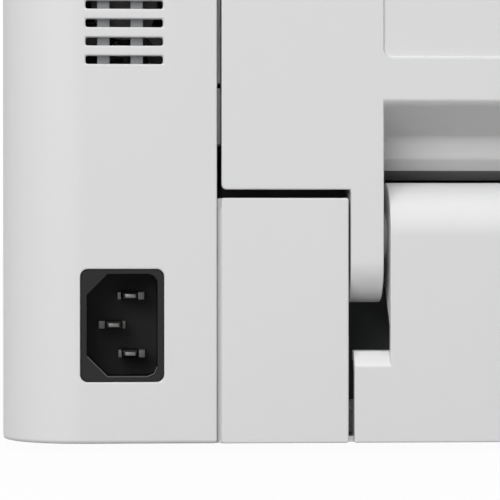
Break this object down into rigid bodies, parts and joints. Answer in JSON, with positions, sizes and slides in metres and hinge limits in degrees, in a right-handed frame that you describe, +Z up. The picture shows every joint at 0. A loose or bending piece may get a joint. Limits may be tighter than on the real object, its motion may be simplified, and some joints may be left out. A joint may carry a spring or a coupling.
{
  "type": "laser multifunction printer",
  "caption": "White A4 laser multifunction printer with drop-down rear door, paper cassette, flatbed scanner and document feeder.",
  "frame": {"origin": "on the floor under the middle of the bounding box, feet at z = 0", "axes": "+X to the user's right, the front faces -Y, the mains inlet faces +Y, +Z up"},
  "size_m": [0.41, 0.4, 0.374],
  "materials": {
    "cover_white": "fine spark-eroded grain, off-white",
    "panel_black": "smooth, slightly glossy",
    "grey_plastic": "fine grain, mid grey",
    "black_plastic": "satin moulded black",
    "gear_nylon": "smooth natural acetal",
    "zinc_steel": "zinc-coated sheet",
    "contact_metal": "bright plated brass",
    "drum_coating": "glossy green-blue coating",
    "dark_rubber": "matt dark rubber",
    "roller_metal": "smooth turned metal",
    "mirror_metal": "polished",
    "circuit_board": "green board with solder mask",
    "scanner_glass": "clear float glass",
    "screen_glass": "dark glossy screen",
    "pad_white": "smooth white sheet",
    "key_light": "smooth light grey"
  },
  "bodies": {
    "root": {"right_cover": "cover_white", "left_cover": "cover_white", "rear_lower_cover": "cover_white", "scanner_base": "cover_white", "scanner_bezel": "cover_white", "top_cover": "cover_white", "rear_frame": "cover_white", "front_frame": "grey_plastic", "power_inlet": "black_plastic", "toner_cartridge": "black_plastic", "fuser_housing": "black_plastic", "laser_unit": "black_plastic", "fan_housing": "black_plastic", "base_pan": "zinc_steel", "right_frame": "zinc_steel", "left_frame": "zinc_steel", "drive_bracket": "zinc_steel", "drive_motor": "zinc_steel", "inlet_pins": "contact_metal", "rubber_feet": "dark_rubber", "power_supply_board": "circuit_board", "mainboard": "circuit_board", "platen_glass": "scanner_glass"},
    "door_body": {"rear_door": "cover_white"},
    "front_cover_body": {"front_cover": "cover_white"},
    "mp_tray_body": {"mp_tray": "cover_white"},
    "right_mp_guide_body": {"right_mp_guide": "grey_plastic"},
    "left_mp_guide_body": {"left_mp_guide": "grey_plastic"},
    "bin_stop_body": {"bin_stop": "grey_plastic"},
    "cassette": {"cassette_tray": "grey_plastic", "cassette_front": "cover_white"},
    "lift_plate_body": {"lift_plate": "zinc_steel"},
    "right_guide_body": {"right_paper_guide": "grey_plastic"},
    "left_guide_body": {"left_paper_guide": "grey_plastic"},
    "rear_stop_body": {"rear_paper_stop": "grey_plastic"},
    "main_gear_body": {"main_gear": "gear_nylon"},
    "pinion_body": {"motor_pinion": "gear_nylon"},
    "drum_body": {"photo_drum": "drum_coating", "drum_gear": "gear_nylon"},
    "transfer_body": {"transfer_roller": "dark_rubber"},
    "heat_body": {"heat_roller": "roller_metal", "fuser_gear": "gear_nylon"},
    "pressure_body": {"pressure_roller": "dark_rubber"},
    "pickup_body": {"pickup_roller": "dark_rubber"},
    "exit_body": {"exit_roller": "dark_rubber"},
    "polygon_body": {"polygon_mirror": "mirror_metal"},
    "fan_body": {"fan_rotor": "black_plastic"},
    "carriage_body": {"scan_carriage": "black_plastic"},
    "lid_body": {"lid": "cover_white", "platen_pad": "pad_white", "adf_body": "cover_white"},
    "adf_roller_body": {"adf_roller": "dark_rubber"},
    "adf_cover_body": {"adf_cover": "cover_white"},
    "adf_tray_body": {"adf_tray": "grey_plastic"},
    "rear_doc_guide_body": {"rear_document_guide": "grey_plastic"},
    "front_doc_guide_body": {"front_document_guide": "grey_plastic"},
    "panel_body": {"control_panel": "panel_black", "touch_screen": "screen_glass"},
    "power_key_body": {"power_key": "key_light"},
    "start_key_body": {"start_key": "key_light"}
  },
  "joints": [
    {"name": "rear_door_hinge", "type": "hinge", "parent": "root", "child": "door_body", "pos_m": [0, 0.187, 0.0518], "axis": [-1, 0, 0], "range_deg": [0, 75]},
    {"name": "front_cover_hinge", "type": "hinge", "parent": "root", "child": "front_cover_body", "pos_m": [0, -0.17, 0.14], "axis": [1, 0, 0], "range_deg": [0, 88]},
    {"name": "mp_tray_hinge", "type": "hinge", "parent": "root", "child": "mp_tray_body", "pos_m": [0, -0.17, 0.078], "axis": [1, 0, 0], "range_deg": [0, 88]},
    {"name": "right_mp_guide_slide", "type": "slide", "parent": "mp_tray_body", "child": "right_mp_guide_body", "axis": [-1, 0, 0], "range_m": [0, 0.05]},
    {"name": "left_mp_guide_slide", "type": "slide", "parent": "mp_tray_body", "child": "left_mp_guide_body", "axis": [1, 0, 0], "range_m": [0, 0.05]},
    {"name": "bin_stop_hinge", "type": "hinge", "parent": "root", "child": "bin_stop_body", "pos_m": [0, -0.152, 0.2026], "axis": [1, 0, 0], "range_deg": [0, 110]},
    {"name": "cassette_slide", "type": "slide", "parent": "root", "child": "cassette", "axis": [0, -1, 0], "range_m": [0, 0.3]},
    {"name": "lift_plate_hinge", "type": "hinge", "parent": "cassette", "child": "lift_plate_body", "pos_m": [0, -0.042, 0.00795], "axis": [-1, 0, 0], "range_deg": [0, 14]},
    {"name": "right_guide_slide", "type": "slide", "parent": "cassette", "child": "right_guide_body", "axis": [-1, 0, 0], "range_m": [0, 0.05]},
    {"name": "left_guide_slide", "type": "slide", "parent": "cassette", "child": "left_guide_body", "axis": [1, 0, 0], "range_m": [0, 0.05]},
    {"name": "rear_stop_slide", "type": "slide", "parent": "cassette", "child": "rear_stop_body", "axis": [0, -1, 0], "range_m": [0, 0.06]},
    {"name": "main_gear_spin", "type": "hinge", "parent": "root", "child": "main_gear_body", "pos_m": [-0.1325, 0.05228, 0.11316], "axis": [1, 0, 0], "continuous": true},
    {"name": "pinion_spin", "type": "hinge", "parent": "root", "child": "pinion_body", "pos_m": [-0.1325, 0.02022, 0.08109], "axis": [1, 0, 0], "continuous": true},
    {"name": "drum_spin", "type": "hinge", "parent": "root", "child": "drum_body", "pos_m": [0, 0, 0.128], "axis": [1, 0, 0], "continuous": true},
    {"name": "transfer_spin", "type": "hinge", "parent": "root", "child": "transfer_body", "pos_m": [0, 0, 0.1086], "axis": [1, 0, 0], "continuous": true},
    {"name": "heat_spin", "type": "hinge", "parent": "root", "child": "heat_body", "pos_m": [0, 0.103, 0.1327], "axis": [1, 0, 0], "continuous": true},
    {"name": "pressure_spin", "type": "hinge", "parent": "root", "child": "pressure_body", "pos_m": [0, 0.103, 0.1073], "axis": [1, 0, 0], "continuous": true},
    {"name": "pickup_spin", "type": "hinge", "parent": "root", "child": "pickup_body", "pos_m": [0, -0.118, 0.076], "axis": [1, 0, 0], "continuous": true},
    {"name": "exit_spin", "type": "hinge", "parent": "root", "child": "exit_body", "pos_m": [0, 0.112, 0.219], "axis": [1, 0, 0], "continuous": true},
    {"name": "polygon_spin", "type": "hinge", "parent": "root", "child": "polygon_body", "pos_m": [0, 0.036, 0.172], "axis": [0, 0, 1], "continuous": true},
    {"name": "fan_spin", "type": "hinge", "parent": "root", "child": "fan_body", "pos_m": [0.1753, 0.18785, 0.1071], "axis": [0, 1, 0], "continuous": true},
    {"name": "carriage_slide", "type": "slide", "parent": "root", "child": "carriage_body", "axis": [1, 0, 0], "range_m": [0, 0.32]},
    {"name": "lid_hinge", "type": "hinge", "parent": "root", "child": "lid_body", "pos_m": [0, 0.186, 0.308], "axis": [-1, 0, 0], "range_deg": [0, 70]},
    {"name": "adf_roller_spin", "type": "hinge", "parent": "lid_body", "child": "adf_roller_body", "pos_m": [-0.11, 0.01, 0.344], "axis": [0, 1, 0], "continuous": true},
    {"name": "adf_cover_hinge", "type": "hinge", "parent": "lid_body", "child": "adf_cover_body", "pos_m": [-0.195, 0.01, 0.351], "axis": [0, -1, 0], "range_deg": [0, 80]},
    {"name": "adf_tray_hinge", "type": "hinge", "parent": "lid_body", "child": "adf_tray_body", "pos_m": [-0.064, 0.01, 0.3445], "axis": [0, -1, 0], "range_deg": [0, 35]},
    {"name": "rear_doc_guide_slide", "type": "slide", "parent": "adf_tray_body", "child": "rear_doc_guide_body", "axis": [0, -1, 0], "range_m": [0, 0.05]},
    {"name": "front_doc_guide_slide", "type": "slide", "parent": "adf_tray_body", "child": "front_doc_guide_body", "axis": [0, 1, 0], "range_m": [0, 0.05]},
    {"name": "panel_tilt", "type": "hinge", "parent": "root", "child": "panel_body", "pos_m": [0, -0.1853, 0.295], "axis": [-1, 0, 0], "range_deg": [0, 45]},
    {"name": "power_key_press", "type": "slide", "parent": "panel_body", "child": "power_key_body", "axis": [0, 0.9889, -0.1483], "range_m": [0, 0.001], "stiffness_N_per_m": 400, "springref_m": -0.0005},
    {"name": "start_key_press", "type": "slide", "parent": "panel_body", "child": "start_key_body", "axis": [0, 0.9889, -0.1483], "range_m": [0, 0.001], "stiffness_N_per_m": 400, "springref_m": -0.0005}
  ],
  "couplings": [
    {"joint": "main_gear_spin", "follows": "drum_spin", "ratio": -0.5},
    {"joint": "pinion_spin", "follows": "drum_spin", "ratio": 2},
    {"joint": "heat_spin", "follows": "drum_spin", "ratio": 1},
    {"joint": "transfer_spin", "follows": "drum_spin", "ratio": -1.7143},
    {"joint": "pressure_spin", "follows": "drum_spin", "ratio": -1},
    {"joint": "left_mp_guide_slide", "follows": "right_mp_guide_slide", "ratio": 1},
    {"joint": "left_guide_slide", "follows": "right_guide_slide", "ratio": 1},
    {"joint": "front_doc_guide_slide", "follows": "rear_doc_guide_slide", "ratio": 1}
  ]
}
